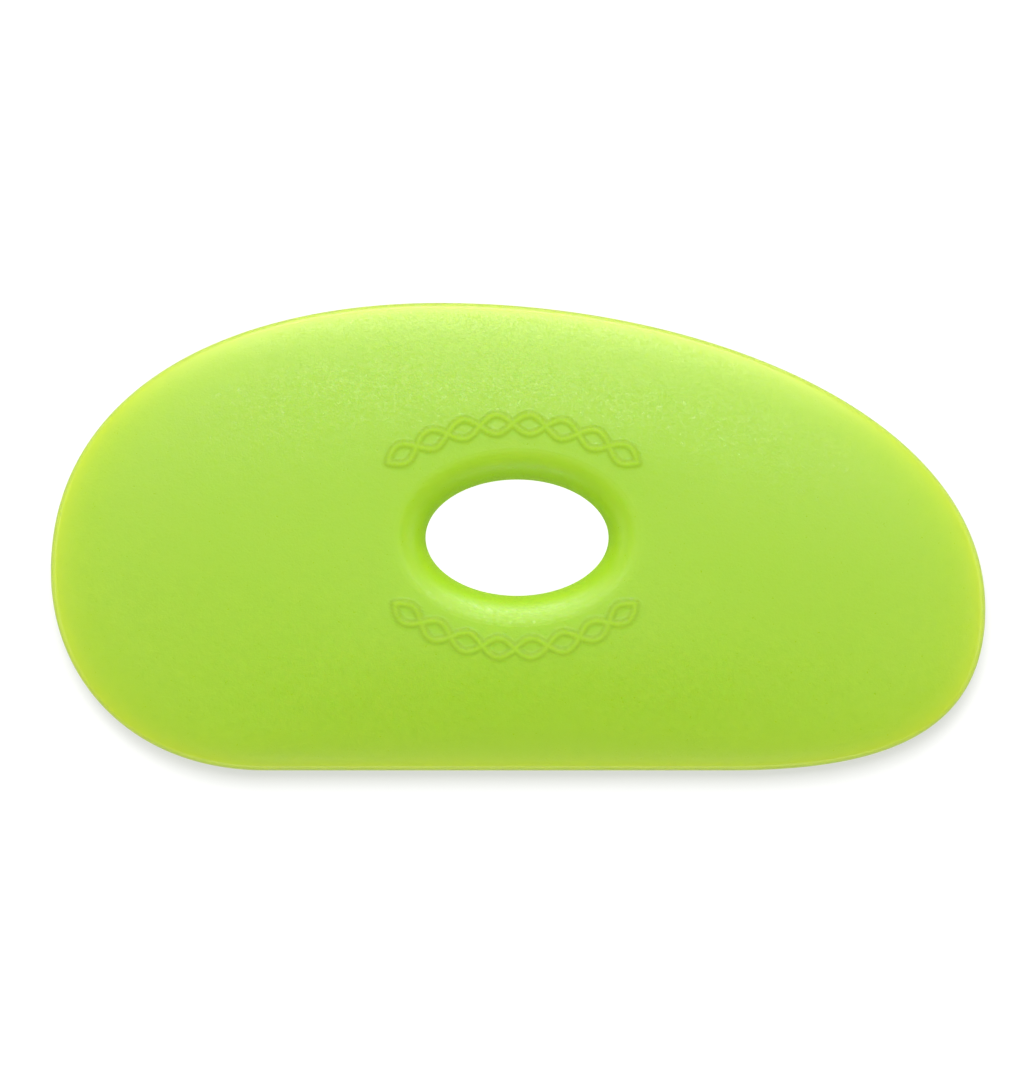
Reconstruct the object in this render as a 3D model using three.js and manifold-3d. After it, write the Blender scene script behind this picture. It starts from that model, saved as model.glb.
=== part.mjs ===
// A potter's rib: a palm-sized, flexible blade of cast polymer that is pressed
// against wet clay to shape and smooth it. It is one solid casting. Both faces
// are crowned, thin at the edge and thickest around an oval finger hole, and
// the upper face carries two raised wavy bands.
//
// Units are millimetres. +X runs along the blade, +Y from the straight edge to
// the curved edge, and +Z out of the face with the bands. The origin is under
// the middle of the outline, on the plane that the lower face rests on.

import * as THREE from 'three';
import { mergeVertices } from 'three/addons/utils/BufferGeometryUtils.js';
import { ParametricGeometry } from 'three/addons/geometries/ParametricGeometry.js';
import Module from 'manifold-3d';

// Driving dimensions
const LENGTH = 88.9;            // 3 1/2 inches
const WIDTH = 44.45;            // 1 3/4 inches
const THICKNESS = 6.35;         // 1/4 inch, around the hole
const RIM = 1.6;                // 1/16 inch, across the rounded working edge
const RIM_TURN = 75;            // degrees that the edge rounds through before the face begins
const HOLE_LENGTH = 17.46;      // 11/16 inch
const HOLE_WIDTH = 11.11;       // 7/16 inch
const HOLE_X = -0.1;
const HOLE_Y = -0.1;
const LIP_REACH = 2.8;          // how far the hole's rounded lip reaches over a face
const CROWN_REACH = 0.95;       // share of the way to the hole over which a face rises
const BEVEL_REACH = 6;          // a steeper strip along the edge, and what it adds to the rise
const BEVEL_RISE = 0.5;

const BAND_WIDTH = 1.0;         // the raised bands, where they meet the face
const BAND_PROUD = 0.1;         // height of the bands above the face
const WAVE_HEIGHT = 0.9;        // a wave's reach to each side of its arc
const WAVES = 4;                // whole waves along a band

// Mesh fineness
const AROUND = 112;
const CROWN_STEPS = 8;
const LIP_STEPS = 6;
const RIM_STEPS = 4;
const WAVE_STEPS = 12;
const END_STEPS = 6;

// The outline, anticlockwise from the left end: each end and the long upper
// edge are Bezier curves that meet squarely at the four extremes, and the lower
// edge has a straight stretch.
function outlineShape() {
  const endX = LENGTH / 2;
  const edgeY = WIDTH / 2;
  const left = { y: -3.3, below: 10.2, above: 16.9 };
  const right = { y: -6.9, below: 12.7, above: 18.3 };
  const top = { x: -7.5, before: 20.7, after: 25.6 };
  const straight = { from: -24, to: 20, before: 12.9, after: 13.3 };

  const shape = new THREE.Shape();
  shape.moveTo(-endX, left.y);
  shape.bezierCurveTo(
    -endX, left.y - left.below, straight.from - straight.before, -edgeY, straight.from, -edgeY);
  shape.lineTo(straight.to, -edgeY);
  shape.bezierCurveTo(
    straight.to + straight.after, -edgeY, endX, right.y - right.below, endX, right.y);
  shape.bezierCurveTo(endX, right.y + right.above, top.x + top.after, edgeY, top.x, edgeY);
  shape.bezierCurveTo(top.x - top.before, edgeY, -endX, left.y + left.above, -endX, left.y);
  return shape;
}

const rimRadius = RIM / 2;
const rimTurn = THREE.MathUtils.degToRad(RIM_TURN);
const faceStartHeight = rimRadius * Math.sin(rimTurn);
const crownRise = THICKNESS / 2 - faceStartHeight - BEVEL_RISE;

// One half of the blade's section, from the edge to the inside of the hole.
// Each station has its height above the middle plane, not counting the bevel,
// and its place: an inset from the outline, a share of the way across the face,
// or an offset from the hole's edge.
function halfSection() {
  const stations = [];
  for (let i = 0; i < RIM_STEPS; i += 1) {
    const turn = rimTurn * (i / RIM_STEPS);
    stations.push({ inset: rimRadius * (1 - Math.cos(turn)), height: rimRadius * Math.sin(turn) });
  }
  for (let i = 0; i <= CROWN_STEPS; i += 1) {
    const way = (i / CROWN_STEPS) ** 1.5;
    stations.push({
      across: CROWN_REACH * way,
      height: faceStartHeight + crownRise * (1 - (1 - way) ** 2),
    });
  }
  for (let i = LIP_STEPS; i >= 0; i -= 1) {
    const turn = (Math.PI / 2) * (i / LIP_STEPS);
    stations.push({
      offset: LIP_REACH * (1 - Math.cos(turn)),
      height: (THICKNESS / 2) * Math.sin(turn),
    });
  }
  return stations;
}

// The whole section: the upper half, then the lower half as its mirror image.
function fullSection() {
  const upper = halfSection();
  const lower = upper.slice(1, -1).reverse();
  return [...upper, ...lower.map((station) => ({ ...station, height: -station.height }))];
}

// What the bevelled strip adds to a face's height at a distance from its start.
function bevelRise(distance) {
  return BEVEL_RISE * (1 - (1 - Math.min(distance / BEVEL_REACH, 1)) ** 3);
}

// The blade without its bands: the section carried once around the outline.
function bladeGeometry() {
  const shape = outlineShape();
  const section = fullSection();

  // Points that depend only on the place along the outline.
  const ribs = [];
  for (let j = 0; j < AROUND; j += 1) {
    const edge = shape.getPoint(j / AROUND);
    const along = shape.getTangent(j / AROUND);
    const inward = new THREE.Vector2(-along.y, along.x);
    const turn = Math.atan2(edge.y / WIDTH, edge.x / LENGTH);
    const holeEdge = new THREE.Vector2(
      HOLE_X + (HOLE_LENGTH / 2) * Math.cos(turn), HOLE_Y + (HOLE_WIDTH / 2) * Math.sin(turn));
    const outward = new THREE.Vector2(
      HOLE_WIDTH * Math.cos(turn), HOLE_LENGTH * Math.sin(turn)).normalize();
    const faceStart = edge.clone().addScaledVector(inward, rimRadius * (1 - Math.cos(rimTurn)));
    const faceEnd = holeEdge.clone().addScaledVector(outward, LIP_REACH);
    ribs.push({ edge, inward, holeEdge, outward, faceStart, faceEnd });
  }

  const surface = (u, v, target) => {
    const rib = ribs[Math.round(u * AROUND) % AROUND];
    const station = section[Math.round(v * section.length) % section.length];
    let { height } = station;
    let plan;
    if (station.inset !== undefined) {
      plan = rib.edge.clone().addScaledVector(rib.inward, station.inset);
    } else if (station.across !== undefined) {
      plan = rib.faceStart.clone().lerp(rib.faceEnd, station.across);
      height += Math.sign(height) * bevelRise(plan.distanceTo(rib.faceStart));
    } else {
      plan = rib.holeEdge.clone().addScaledVector(rib.outward, station.offset);
    }
    target.set(plan.x, plan.y, THICKNESS / 2 + height);
  };
  return new ParametricGeometry(surface, AROUND, section.length);
}

// A wavy line along an arc of a circle. It starts and ends on the arc, and a
// negative reach turns its waves over.
class WavyArc extends THREE.Curve {
  constructor({ x, y, radius, middle, halfSpan }, reach) {
    super();
    this.reach = reach;
    this.centre = new THREE.Vector2(x, y);
    this.radius = radius;
    this.start = THREE.MathUtils.degToRad(middle - halfSpan);
    this.span = THREE.MathUtils.degToRad(2 * halfSpan);
  }

  getPoint(t, target = new THREE.Vector2()) {
    const angle = this.start + this.span * t;
    const distance = this.radius + this.reach * Math.sin(2 * Math.PI * WAVES * t);
    target.set(Math.cos(angle), Math.sin(angle)).multiplyScalar(distance);
    return target.add(this.centre);
  }
}

// The outline of a stroke that follows a line, with a round end at each end.
function strokeShape(line) {
  const steps = WAVES * WAVE_STEPS;
  const sides = { right: [], left: [] };
  for (let i = 0; i <= steps; i += 1) {
    const place = line.getPoint(i / steps);
    const along = line.getTangent(i / steps);
    const across = new THREE.Vector2(-along.y, along.x).multiplyScalar(BAND_WIDTH / 2);
    sides.right.push(place.clone().sub(across));
    sides.left.unshift(place.clone().add(across));
  }
  const roundEnd = (t, turn) => {
    const place = line.getPoint(t);
    const from = line.getTangent(t).angle() + turn;
    return Array.from({ length: END_STEPS - 1 }, (_, i) => {
      const angle = from + Math.PI * ((i + 1) / END_STEPS);
      return place.clone().add(new THREE.Vector2(Math.cos(angle), Math.sin(angle))
        .multiplyScalar(BAND_WIDTH / 2));
    });
  };
  return new THREE.Shape([
    ...sides.right, ...roundEnd(1, -Math.PI / 2), ...sides.left, ...roundEnd(0, Math.PI / 2)]);
}

const wasm = await Module();
wasm.setup();

function toSolid(geometry) {
  const bare = geometry.clone();
  bare.deleteAttribute('normal');
  bare.deleteAttribute('uv');
  const merged = mergeVertices(bare.index ? bare.toNonIndexed() : bare, 1e-4);
  return new wasm.Manifold(new wasm.Mesh({
    numProp: 3,
    vertProperties: new Float32Array(merged.attributes.position.array),
    triVerts: new Uint32Array(merged.index.array),
  }));
}

function toGeometry(solid) {
  const mesh = solid.getMesh();
  const geometry = new THREE.BufferGeometry();
  geometry.setAttribute('position', new THREE.BufferAttribute(mesh.vertProperties, mesh.numProp));
  geometry.setIndex(new THREE.BufferAttribute(mesh.triVerts, 1));
  geometry.computeVertexNormals();
  return geometry;
}

// One band arches over the hole and the other hangs under it.
const bandArcs = [
  { x: -0.5, y: -9.9, radius: 20.6, middle: 90, halfSpan: 35 },
  { x: -0.3, y: 6.8, radius: 17.4, middle: -90, halfSpan: 41 },
];

// A band is a wavy stroke and its mirror image, which cross to make a chain of
// loops. It follows the crown: it is the part of a slightly raised blade that
// lies inside the strokes.
const bareBlade = toSolid(bladeGeometry());
const raisedBlade = toSolid(bladeGeometry().translate(0, 0, BAND_PROUD));
let blade = bareBlade;
for (const arc of bandArcs) {
  const [stroke, mirrored] = [WAVE_HEIGHT, -WAVE_HEIGHT].map((reach) => toSolid(
    new THREE.ExtrudeGeometry(
      strokeShape(new WavyArc(arc, reach)), { depth: THICKNESS, bevelEnabled: false },
    ).translate(0, 0, THICKNESS / 2)));
  blade = blade.add(stroke.add(mirrored).intersect(raisedBlade));
}

const limeGreen = new THREE.MeshStandardMaterial({ color: 0xaedb4c, roughness: 0.55, metalness: 0 });
const ribBlade = new THREE.Mesh(toGeometry(blade), limeGreen);
ribBlade.name = 'rib_blade';

const pottersRib = new THREE.Group();
pottersRib.name = 'potters_rib';
pottersRib.add(ribBlade);

export default pottersRib;
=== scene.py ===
"""A potter's rib: one flexible, translucent casting, laid flat and seen from straight above.

The casting is rebuilt here as one fine mesh over the CAD solid: the same outline, crowned faces,
full round hole lip and wavy bands, with the moulding's seam and soft-edged ridges added.
Shape sizes are in millimetres and become metres as the mesh is made.
"""

import math

import bpy
import numpy as np
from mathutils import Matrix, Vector


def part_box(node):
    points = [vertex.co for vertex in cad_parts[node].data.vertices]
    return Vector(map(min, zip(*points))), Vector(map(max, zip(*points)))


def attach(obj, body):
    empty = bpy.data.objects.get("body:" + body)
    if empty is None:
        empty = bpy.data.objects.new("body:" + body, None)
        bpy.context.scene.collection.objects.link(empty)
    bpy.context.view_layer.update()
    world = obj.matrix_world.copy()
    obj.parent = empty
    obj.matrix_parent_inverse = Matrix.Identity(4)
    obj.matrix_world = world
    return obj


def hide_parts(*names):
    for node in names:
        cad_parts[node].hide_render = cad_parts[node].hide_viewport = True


MM = 0.001

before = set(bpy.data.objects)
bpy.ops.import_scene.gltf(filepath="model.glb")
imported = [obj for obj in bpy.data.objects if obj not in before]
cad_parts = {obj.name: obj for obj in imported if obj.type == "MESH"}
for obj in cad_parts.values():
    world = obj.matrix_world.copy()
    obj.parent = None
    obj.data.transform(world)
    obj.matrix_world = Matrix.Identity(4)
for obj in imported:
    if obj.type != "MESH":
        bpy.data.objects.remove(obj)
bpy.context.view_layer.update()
low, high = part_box("rib_blade")

# Sizes that the CAD solid has, in millimetres
LENGTH = (high.x - low.x) / MM
WIDTH = (high.y - low.y) / MM
THICKNESS = 6.35
RIM = 1.6                # across the rounded working edge
RIM_TURN = 75            # degrees that the edge rounds through before the face begins
HOLE_LENGTH = 17.46
HOLE_WIDTH = 11.11
HOLE_CENTRE = np.array([-0.1, -0.1])
LIP_REACH = 2.8          # how far the hole's rounded lip reaches over a face
CROWN_REACH = 0.95       # share of the way to the hole over which a face rises
BEVEL_REACH = 6          # a steeper strip along the edge, and what it adds to the rise
BEVEL_RISE = 0.5
BAND_PROUD = 0.1         # height of the wavy bands above the face
WAVE_HEIGHT = 0.9        # a wave's reach to each side of its arc
WAVES = 4                # whole waves along a band
BANDS = (
    dict(x=-0.5, y=-9.9, radius=20.6, middle=90, half_span=35),
    dict(x=-0.3, y=6.8, radius=17.4, middle=-90, half_span=41),
)

# Detail that only the fine mesh has, in millimetres
BAND_HALF_WIDTH = 0.56
SEAM_PROUD = 0.03
SEAM_HALF_WIDTH = 0.10

# Mesh fineness
COLUMNS = 640            # around the blade
SEAM_STEPS = 4           # and along its section
RIM_STEPS = 10
CROWN_STEPS = 16
BAND_STEPS = 40          # on the face with the bands, past BANDS_START
PLAIN_STEPS = 8          # on the plain face, past BANDS_START
BANDS_START = 0.64       # share of the way from the edge to the hole
LIP_STEPS = 14
LIP_END = 4              # degrees from the lip's middle at which its seam begins
OUTLINE_SAMPLES = 600
WAVE_SAMPLES = 500


def bezier(a, b, c, d, samples):
    """Points and directions along a cubic Bezier curve, without its last point."""
    t = np.linspace(0.0, 1.0, samples, endpoint=False)[:, None]
    s = 1.0 - t
    a, b, c, d = (np.array(p, float) for p in (a, b, c, d))
    points = s**3 * a + 3 * s**2 * t * b + 3 * s * t**2 * c + t**3 * d
    along = s**2 * (b - a) + 2 * s * t * (c - b) + t**2 * (d - c)
    return points, along / np.linalg.norm(along, axis=1, keepdims=True)


def straight(a, b, samples):
    """Points and directions along a straight line, without its last point."""
    third = (np.array(b, float) - a) / 3
    return bezier(a, a + third, a + 2 * third, b, samples)


def outline():
    """The edge, anticlockwise from the left end: points and inward directions, evenly spaced."""
    end_x, edge_y = LENGTH / 2, WIDTH / 2
    left = dict(y=-3.3, below=10.2, above=16.9)
    right = dict(y=-6.9, below=12.7, above=18.3)
    top = dict(x=-7.5, before=20.7, after=25.6)
    flat = dict(start=-24.0, end=20.0, before=12.9, after=13.3)
    at_left, at_right = (-end_x, left["y"]), (end_x, right["y"])
    at_top = (top["x"], edge_y)
    flat_start, flat_end = (flat["start"], -edge_y), (flat["end"], -edge_y)
    stretches = [
        bezier(at_left, (-end_x, left["y"] - left["below"]),
               (flat["start"] - flat["before"], -edge_y), flat_start, OUTLINE_SAMPLES),
        straight(flat_start, flat_end, OUTLINE_SAMPLES),
        bezier(flat_end, (flat["end"] + flat["after"], -edge_y),
               (end_x, right["y"] - right["below"]), at_right, OUTLINE_SAMPLES),
        bezier(at_right, (end_x, right["y"] + right["above"]),
               (top["x"] + top["after"], edge_y), at_top, OUTLINE_SAMPLES),
        bezier(at_top, (top["x"] - top["before"], edge_y),
               (-end_x, left["y"] + left["above"]), at_left, OUTLINE_SAMPLES),
    ]
    points = np.concatenate([p for p, _ in stretches])
    along = np.concatenate([a for _, a in stretches])
    points = np.vstack([points, points[:1]])
    along = np.vstack([along, along[:1]])
    travelled = np.concatenate([[0], np.cumsum(np.linalg.norm(np.diff(points, axis=0), axis=1))])
    wanted = np.linspace(0, travelled[-1], COLUMNS, endpoint=False)
    points = np.stack([np.interp(wanted, travelled, points[:, k]) for k in (0, 1)], axis=1)
    along = np.stack([np.interp(wanted, travelled, along[:, k]) for k in (0, 1)], axis=1)
    inward = np.stack([-along[:, 1], along[:, 0]], axis=1)
    return points, inward / np.linalg.norm(inward, axis=1, keepdims=True)


# Where the rounded edge gives way to the face: inset from the outline, height above the middle
FACE_INSET = RIM / 2 * (1 - math.cos(math.radians(RIM_TURN)))
FACE_START = RIM / 2 * math.sin(math.radians(RIM_TURN))
CROWN_RISE = THICKNESS / 2 - FACE_START - BEVEL_RISE


def seam(height):
    """How far the moulding's seam stands out at a height above the middle plane."""
    reach = min(abs(height) / SEAM_HALF_WIDTH, 1.0)
    return SEAM_PROUD * (1 - reach**2) ** 2


def bevel_rise(distance):
    """What the steeper strip along the edge adds to a face's height."""
    return BEVEL_RISE * (1 - (1 - np.minimum(distance / BEVEL_REACH, 1)) ** 3)


def half_section(face_steps):
    """Half of the blade's section, from the edge's middle to the middle of the hole's lip.

    Each station is (what it is measured from, how far, height above the middle plane)."""
    rim = RIM / 2
    seam_heights = np.linspace(0, SEAM_HALF_WIDTH, SEAM_STEPS, endpoint=False)
    stations = []
    for height in seam_heights:
        stations.append(("edge", rim - math.sqrt(rim**2 - height**2) - seam(height), height))
    seam_turn = math.degrees(math.asin(SEAM_HALF_WIDTH / rim))
    for turn in np.radians(np.linspace(seam_turn, RIM_TURN, RIM_STEPS, endpoint=False)):
        stations.append(("edge", rim * (1 - math.cos(turn)), rim * math.sin(turn)))
    for across in face_steps:
        rise = 1 - (1 - min(across / CROWN_REACH, 1.0)) ** 2
        stations.append(("across", across, FACE_START + CROWN_RISE * rise))
    for turn in np.radians(np.linspace(90, LIP_END, LIP_STEPS)):
        stations.append(("hole", LIP_REACH * (1 - math.cos(turn)), THICKNESS / 2 * math.sin(turn)))
    for height in reversed(seam_heights):
        bow = LIP_REACH * (1 - math.sqrt(1 - (2 * height / THICKNESS) ** 2))
        stations.append(("hole", bow - seam(height), height))
    return stations


def wave_points(x, y, radius, middle, half_span):
    """The middle lines of one raised band: a wave along an arc, and its mirror image."""
    t = np.linspace(0, 1, WAVE_SAMPLES)
    angle = np.radians(middle + half_span * (2 * t - 1))
    wave = WAVE_HEIGHT * np.sin(2 * math.pi * WAVES * t)
    reach = np.concatenate([radius + wave, radius - wave])
    angle = np.concatenate([angle, angle])
    return np.stack([x + reach * np.cos(angle), y + reach * np.sin(angle)], axis=1)


def nearest(plan, line):
    """Distance from each point to the nearest point of a line."""
    best = np.full(len(plan), np.inf)
    batch = 4000         # keeps memory low
    for start in range(0, len(plan), batch):
        some = plan[start:start + batch]
        gap = some[:, None, :] - line[None, :, :]
        best[start:start + batch] = np.sqrt((gap**2).sum(axis=2).min(axis=1))
    return best


def casting():
    """The whole rib as one closed mesh, with what its material needs to know at each point."""
    edge, inward = outline()
    turn = np.arctan2(edge[:, 1] / WIDTH, edge[:, 0] / LENGTH)
    hole = HOLE_CENTRE + np.stack(
        [HOLE_LENGTH / 2 * np.cos(turn), HOLE_WIDTH / 2 * np.sin(turn)], axis=1)
    outward = np.stack([HOLE_WIDTH * np.cos(turn), HOLE_LENGTH * np.sin(turn)], axis=1)
    outward /= np.linalg.norm(outward, axis=1, keepdims=True)
    face_start = edge + inward * FACE_INSET
    face_end = hole + outward * LIP_REACH

    crown_steps = np.linspace(0, BANDS_START, CROWN_STEPS, endpoint=False)
    band_steps = np.linspace(BANDS_START, 1, BAND_STEPS, endpoint=False)
    plain_steps = np.linspace(BANDS_START, 1, PLAIN_STEPS, endpoint=False)
    upper = half_section(np.concatenate([crown_steps, band_steps]))
    lower = half_section(np.concatenate([crown_steps, plain_steps]))
    section = upper + [(k, v, -h) for k, v, h in reversed(lower[1:-1])]

    face_length = np.linalg.norm(face_end - face_start, axis=1)
    rows = []
    for kind, value, height in section:
        heights = np.full(COLUMNS, height)
        if kind == "edge":
            plan = edge + inward * value
        elif kind == "across":
            plan = face_start + (face_end - face_start) * value
            heights += math.copysign(1, height) * bevel_rise(face_length * value)
        else:
            plan = hole + outward * value
        rows.append(np.column_stack([plan, THICKNESS / 2 + heights]))
    points = np.concatenate(rows)

    on_lip = np.repeat([k == "hole" for k, _, _ in section], COLUMNS)
    thick = 2 * np.abs(points[:, 2] - THICKNESS / 2)
    thick[on_lip] = THICKNESS

    on_upper_face = np.repeat([k == "across" and h > 0 for k, _, h in section], COLUMNS)
    ridge = np.zeros(len(points))
    for band in BANDS:
        away = nearest(points[on_upper_face, :2], wave_points(**band)) / BAND_HALF_WIDTH
        ridge[on_upper_face] += (1 - np.minimum(away, 1) ** 2) ** 2
    points[:, 2] += BAND_PROUD * ridge

    count = len(section)
    i, j = np.meshgrid(np.arange(count), np.arange(COLUMNS), indexing="ij")
    after_i, after_j = (i + 1) % count, (j + 1) % COLUMNS
    quads = np.stack([i * COLUMNS + j, i * COLUMNS + after_j,
                      after_i * COLUMNS + after_j, after_i * COLUMNS + j], axis=-1).reshape(-1, 4)

    mesh = bpy.data.meshes.new("rib_casting")
    mesh.from_pydata((points * MM).tolist(), [], quads.tolist())
    mesh.polygons.foreach_set("use_smooth", [True] * len(quads))
    for name, values in (("thickness", thick / THICKNESS), ("lip", on_lip), ("ridge", ridge)):
        layer = mesh.attributes.new(name, "FLOAT", "POINT")
        layer.data.foreach_set("value", values.astype(np.float32))
    mesh.update()
    piece = bpy.data.objects.new("rib_casting", mesh)
    bpy.context.scene.collection.objects.link(piece)
    return piece


# The polymer's colour where it is thick; where it is thin, partly the thinner polymer's paler tint
# and partly a painted glow of light through the thin edge; a painted sheen on the rounded edge; and
# painted shade on the flanks of a ridge
DEEP = (0.42, 0.71, 0.003, 1)
PALE = (0.475, 0.68, 0.04, 1)
EDGE_SHEEN = (0.44, 0.64, 0.13, 1)
FLANK_SHADE = (0.26, 0.44, 0.003, 1)
PALING = 1.3             # how late the colour turns pale towards the edge
CLOUD_TINT = 0.12        # most that a cloud pales the colour
# how strongly the painted shade darkens a ridge's flanks
FLANK_TINT = 0.35

# Its finish: roughness, and what the edge and the bands change in it
ROUGHNESS = 0.46
EDGE_ROUGHNESS = ROUGHNESS - 0.11
BAND_ROUGHER = 0.28
LEAST_UNEVEN = 0.1       # share of the unevenness left on the worn edge
LEAST_GRAIN = 0.25       # share of the grain left on the lip and the bands
# Each kind of unevenness: size in millimetres, and how far it shifts the roughness
GRAIN = (0.20, 0.15)
SWELL = (0.5, 0.07)
BLOTCH = (2.2, 0.012)
CLOUD_SIZE = 9.0
# The grain's relief in millimetres, the share of swell in it, and its mean before scaling
GRAIN_DEPTH = 0.009
SWELL_SHARE = 0.9
MEAN_GRAIN = 0.95

# Shares of the full thickness: where the edge is fully and not at all worn, and where the painted
# sheen on the rounded edge begins and is complete
WORN_FROM, WORN_TO = 0.26, 0.33
ROUNDING_FROM, ROUNDING_TO = 0.23, 0.12
# Shares of a ridge's height: where its own finish begins and is complete
BAND_FROM, BAND_TO = 0.02, 0.30

# How light spreads inside it, for red, green and blue, and how far in millimetres
SCATTER = (1.0, 0.9, 0.25)
SCATTER_REACH = 5.5
REFRACTION = 1.48
SPECULAR = 0.9


class Nodes:
    """Short ways to add and join a material's nodes."""

    def __init__(self, name):
        self.material = bpy.data.materials.new(name)
        self.material.use_nodes = True
        self.tree = self.material.node_tree
        self.shader = self.tree.nodes["Principled BSDF"]

    def add(self, kind, inputs=None, **settings):
        node = self.tree.nodes.new(kind)
        for key, value in settings.items():
            setattr(node, key, value)
        for key, value in (inputs or {}).items():
            self.set(node, key, value)
        return node

    def set(self, node, key, value):
        if isinstance(value, bpy.types.NodeSocket):
            self.tree.links.new(value, node.inputs[key])
        else:
            node.inputs[key].default_value = value

    def attribute(self, name):
        return self.add("ShaderNodeAttribute", attribute_name=name).outputs["Fac"]

    def noise(self, where, size, detail=2.0):
        """Noise whose features have a size in millimetres."""
        return self.add("ShaderNodeTexNoise", {
            "Vector": where, "Scale": 1 / (size * MM), "Detail": detail}).outputs["Fac"]

    def maths(self, operation, a, b):
        return self.add("ShaderNodeMath", {0: a, 1: b}, operation=operation).outputs["Value"]

    def spread(self, value, from_low, from_high, to_low, to_high):
        return self.add("ShaderNodeMapRange", {
            "Value": value, "From Min": from_low, "From Max": from_high,
            "To Min": to_low, "To Max": to_high}).outputs["Result"]

    def vary(self, noise, to_low, to_high):
        """Spreads a noise, which seldom leaves 0.3 to 0.7, over a range."""
        return self.spread(noise, 0.3, 0.7, to_low, to_high)

    def mix(self, factor, a, b):
        node = self.add("ShaderNodeMix", data_type="RGBA")
        # The colour sockets have the same names as others on this node, so numbers pick them
        self.set(node, 0, factor)
        self.set(node, 6, a)
        self.set(node, 7, b)
        return node.outputs[2]


def polymer():
    """Translucent lime polyurethane with a fine mould grain; paler and yellower where thin (its own
    tint and a painted glow through the edge), with painted sheen on the edge and painted shade on
    ridge flanks.
    """
    n = Nodes("lime_polymer")
    where = n.add("ShaderNodeTexCoord").outputs["Object"]
    thickness = n.attribute("thickness")
    ridge = n.attribute("ridge")

    # Painted glow: the colour turns paler towards the thin edge, partly the thinner polymer's tint
    # and partly light shining through it
    thin = n.spread(thickness, 1.0, RIM / THICKNESS, 0.0, 1.0)
    colour = n.mix(n.maths("POWER", thin, PALING), DEEP, PALE)
    cloud = n.noise(where, CLOUD_SIZE, detail=3.0)
    colour = n.mix(n.vary(cloud, 0.0, CLOUD_TINT), colour, PALE)
    # Painted shade: a ridge's flanks are darkened in colour where their missing sheen leaves them
    # dark
    # 4 r (1 - r) is 1 half way up a ridge and 0 at its foot and top
    flank_shade = n.maths("MULTIPLY", ridge, n.maths("SUBTRACT", 4.0, n.maths("MULTIPLY", ridge, 4.0)))
    colour = n.mix(n.maths("MULTIPLY", flank_shade, FLANK_TINT), colour, FLANK_SHADE)
    # Painted sheen: the rounded edge's colour is whitened where a grazing reflection would show
    edge_sheen = n.spread(thickness, ROUNDING_FROM, ROUNDING_TO, 0.0, 1.0)
    colour = n.mix(edge_sheen, colour, EDGE_SHEEN)
    n.set(n.shader, "Base Color", colour)

    on_band = n.spread(ridge, BAND_FROM, BAND_TO, 0.0, 1.0)
    worn = n.spread(thickness, WORN_FROM, WORN_TO, 1.0, 0.0)
    grain, swell, blotch = (n.noise(where, size) for size, _ in (GRAIN, SWELL, BLOTCH))
    uneven = n.vary(grain, -GRAIN[1], GRAIN[1])
    uneven = n.maths("ADD", uneven, n.vary(swell, -SWELL[1], SWELL[1]))
    uneven = n.maths("ADD", uneven, n.vary(blotch, -BLOTCH[1], BLOTCH[1]))
    uneven = n.maths("MULTIPLY", uneven, n.spread(worn, 0.0, 1.0, 1.0, LEAST_UNEVEN))
    rough = n.maths("ADD", uneven, n.spread(worn, 0.0, 1.0, ROUGHNESS, EDGE_ROUGHNESS))
    rough = n.maths("ADD", rough, n.maths("MULTIPLY", on_band, BAND_ROUGHER))
    n.set(n.shader, "Roughness", rough)

    smooth = n.maths("MAXIMUM", on_band, n.attribute("lip"))
    height = n.maths("ADD", grain, n.maths("MULTIPLY", swell, SWELL_SHARE))
    height = n.maths("MULTIPLY", height, n.spread(smooth, 0.0, 1.0, 1.0, LEAST_GRAIN))
    to_mean = n.maths("SUBTRACT", MEAN_GRAIN, height)
    height = n.maths("ADD", height, n.maths("MULTIPLY", to_mean, worn))
    bump = n.add("ShaderNodeBump", {
        "Strength": 1.0, "Distance": GRAIN_DEPTH * MM, "Height": height})
    n.set(n.shader, "Normal", bump.outputs["Normal"])

    n.set(n.shader, "Subsurface Weight", 1.0)
    n.set(n.shader, "Subsurface Radius", SCATTER)
    n.set(n.shader, "Subsurface Scale", SCATTER_REACH * MM)
    n.set(n.shader, "IOR", REFRACTION)
    n.set(n.shader, "Specular IOR Level", SPECULAR)
    return n.material


def white_paper(name, glow):
    """White paper that is bright enough to read as plain white."""
    n = Nodes(name)
    n.set(n.shader, "Base Color", PAPER)
    n.set(n.shader, "Roughness", 0.9)
    n.set(n.shader, "Specular IOR Level", 0.0)
    n.set(n.shader, "Emission Color", (1, 1, 1, 1))
    n.set(n.shader, "Emission Strength", glow)
    return n.material


# The set, in metres
PAPER = (0.3, 0.3, 0.3, 1)
FLOOR_REACH = 1.5
FLOOR_GLOW = 0.6
HOLE_SHEET = 1.02        # the white sheet in the hole, as a share of the hole's size
HOLE_SHEET_HEIGHT = 0.02 * MM
HOLE_SHEET_POINTS = 96
HOLE_GLOW = 1.0
WORLD_STRENGTH = 0.22

# Each lamp: tilt from straight above and bearing from +X in degrees, width and depth in metres,
# and watts
LAMP_DISTANCE = 0.75
RIB_LAMPS = {
    "window_15": (15, 90, 0.5, 0.15, 1.3),
    "window_30": (30, 90, 0.5, 0.15, 0.55),
    "window_45": (45, 90, 0.8, 0.15, 1.5),
    "window_60": (60, 90, 0.7, 0.15, 0.8),
    "window_80": (80, 90, 0.6, 0.15, 0.5),
    "front": (72, -90, 0.6, 0.35, 0.6),
    "left": (66, 180, 0.7, 0.4, 0.95),
    "right": (66, 0, 0.7, 0.4, 0.95),
}
# Lamps that only the rib's gloss shows
GLOSS_LAMPS = {
    "window_gloss": (66, 90, 0.7, 0.3, 2.4),
    "front_gloss": (74, -90, 0.9, 0.12, 0.3),
}
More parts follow.
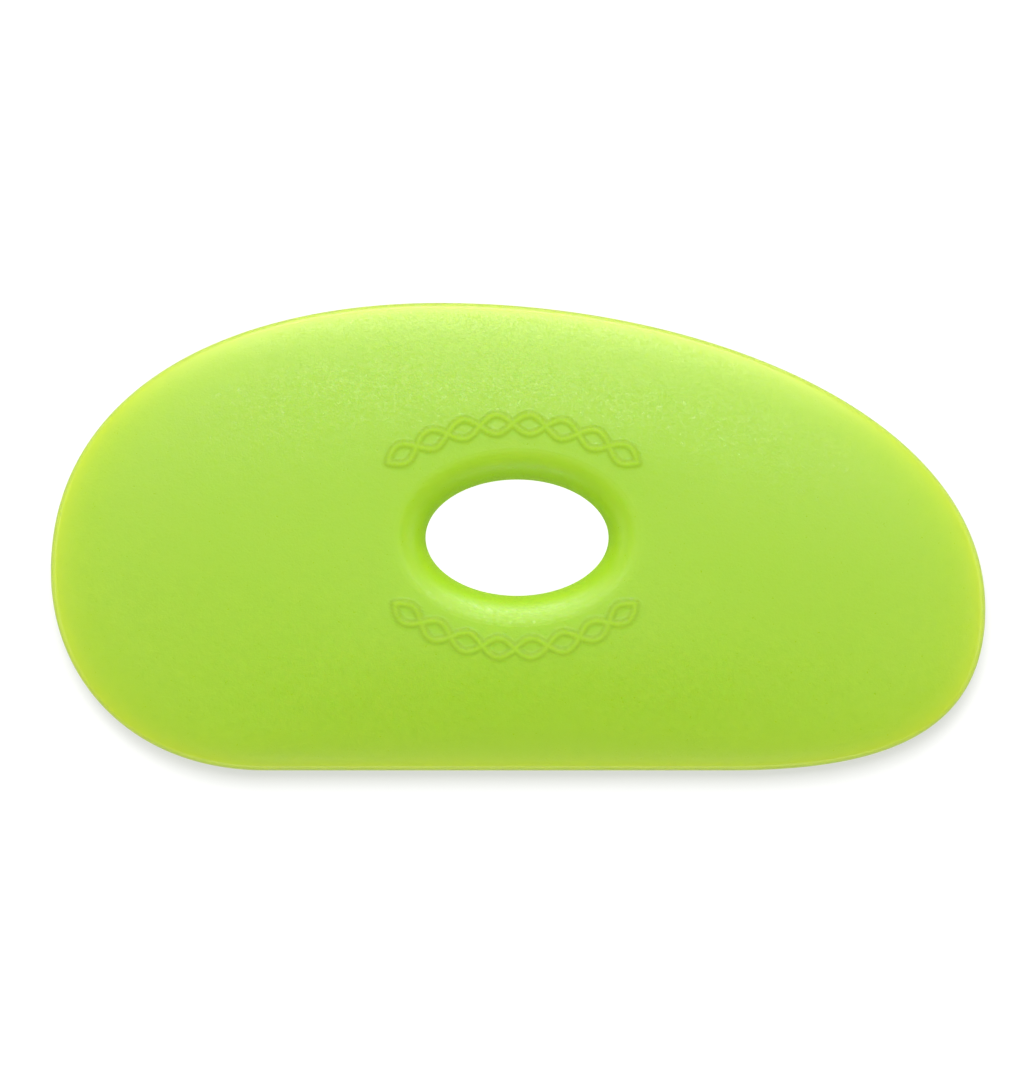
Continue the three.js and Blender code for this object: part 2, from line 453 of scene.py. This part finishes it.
# A lamp that the rib's gloss doesn't show, and one for the table only
OVERHEAD_LAMP = (5, 90, 0.6, 0.6, 0.75)
TABLE_LAMP = (25, 97, 0.5, 0.5, 11.5)

# The camera, in metres: what its frame holds from top to bottom, how far it is from the rib's middle,
# and how far it stands to the left of and below that middle
FRAME_HEIGHT = 102.8 * MM
CAMERA_DISTANCE = 0.6
CAMERA_LEFT = 1.15 * MM
CAMERA_DOWN = 0.32 * MM
SENSOR = 36              # millimetres


def aim(thing, target):
    """Turns a lamp or camera to look at a point."""
    away = thing.location - target
    thing.rotation_euler = away.to_track_quat("Z", "Y").to_euler()


def softbox(name, target, tilt, bearing, width, depth, power):
    """A soft lamp, tilted away from straight above the target towards a bearing."""
    lamp = bpy.data.lights.new(name, "AREA")
    lamp.shape = "RECTANGLE"
    lamp.size = width
    lamp.size_y = depth
    lamp.energy = power
    lamp_object = bpy.data.objects.new(name, lamp)
    tilt = math.radians(tilt)
    bearing = math.radians(bearing)
    sideways = Vector((math.cos(bearing), math.sin(bearing), 0)) * math.sin(tilt)
    lamp_object.location = target + (sideways + Vector((0, 0, math.cos(tilt)))) * LAMP_DISTANCE
    bpy.context.scene.collection.objects.link(lamp_object)
    aim(lamp_object, target)
    return lamp_object


def light_only(lamp, piece):
    """Keeps a lamp's light to one piece, as flags and screens do in a studio."""
    lit = bpy.data.collections.new(lamp.name + "_receivers")
    lit.objects.link(piece)
    lamp.light_linking.receiver_collection = lit


def sheet(name, corners, glow):
    """A flat piece of the set that gloss doesn't show."""
    mesh = bpy.data.meshes.new(name)
    mesh.from_pydata(corners, [], [range(len(corners))])
    mesh.materials.append(white_paper(name, glow))
    piece = bpy.data.objects.new(name, mesh)
    piece.visible_glossy = False
    bpy.context.scene.collection.objects.link(piece)
    return piece


def studio(middle, rib):
    """The floor, the lamps and the world."""
    corners = [(-1, -1), (1, -1), (1, 1), (-1, 1)]
    floor = sheet("floor", [(x * FLOOR_REACH, y * FLOOR_REACH, 0) for x, y in corners], FLOOR_GLOW)
    # Only the camera sees this sheet, so it whitens what shows in the hole without lighting the lip
    turns = np.linspace(0, 2 * math.pi, HOLE_SHEET_POINTS, endpoint=False)
    half_length, half_width = HOLE_SHEET * HOLE_LENGTH / 2, HOLE_SHEET * HOLE_WIDTH / 2
    oval = HOLE_CENTRE + np.stack([half_length * np.cos(turns), half_width * np.sin(turns)], axis=1)
    spot = sheet("floor_in_hole", [(x * MM, y * MM, HOLE_SHEET_HEIGHT) for x, y in oval], HOLE_GLOW)
    spot.visible_diffuse = False
    spot.visible_shadow = False

    for name, setting in RIB_LAMPS.items():
        light_only(softbox(name, middle, *setting), rib)
    for name, setting in GLOSS_LAMPS.items():
        lamp = softbox(name, middle, *setting)
        lamp.visible_diffuse = False
        light_only(lamp, rib)
    overhead = softbox("overhead", middle, *OVERHEAD_LAMP)
    overhead.visible_glossy = False
    light_only(overhead, rib)
    light_only(softbox("table", middle, *TABLE_LAMP), floor)

    world = bpy.data.worlds.new("studio")
    world.use_nodes = True
    background = world.node_tree.nodes["Background"]
    background.inputs["Color"].default_value = (1, 1, 1, 1)
    # White where it is seen directly, past the floor, and a dimmer light
    seen = world.node_tree.nodes.new("ShaderNodeLightPath").outputs["Is Camera Ray"]
    strength = world.node_tree.nodes.new("ShaderNodeMapRange")
    strength.inputs["To Min"].default_value = WORLD_STRENGTH
    world.node_tree.links.new(seen, strength.inputs["Value"])
    world.node_tree.links.new(strength.outputs["Result"], background.inputs["Strength"])
    bpy.context.scene.world = world


def camera(middle):
    """Straight above, with the rib a little right of the middle of the frame."""
    data = bpy.data.cameras.new("camera")
    data.sensor_width = SENSOR
    data.lens = SENSOR * CAMERA_DISTANCE / FRAME_HEIGHT
    data.clip_start = 0.01
    viewer = bpy.data.objects.new("camera", data)
    viewer.location = middle + Vector((-CAMERA_LEFT, -CAMERA_DOWN, CAMERA_DISTANCE))
    bpy.context.scene.collection.objects.link(viewer)
    bpy.context.scene.camera = viewer


middle = (low + high) / 2
middle.z = low.z + THICKNESS / 2 * MM

rib = casting()
rib.data.materials.append(polymer())
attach(rib, "root")
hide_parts("rib_blade")

studio(middle, rib)
camera(middle)
bpy.context.scene.view_settings.view_transform = "Standard"
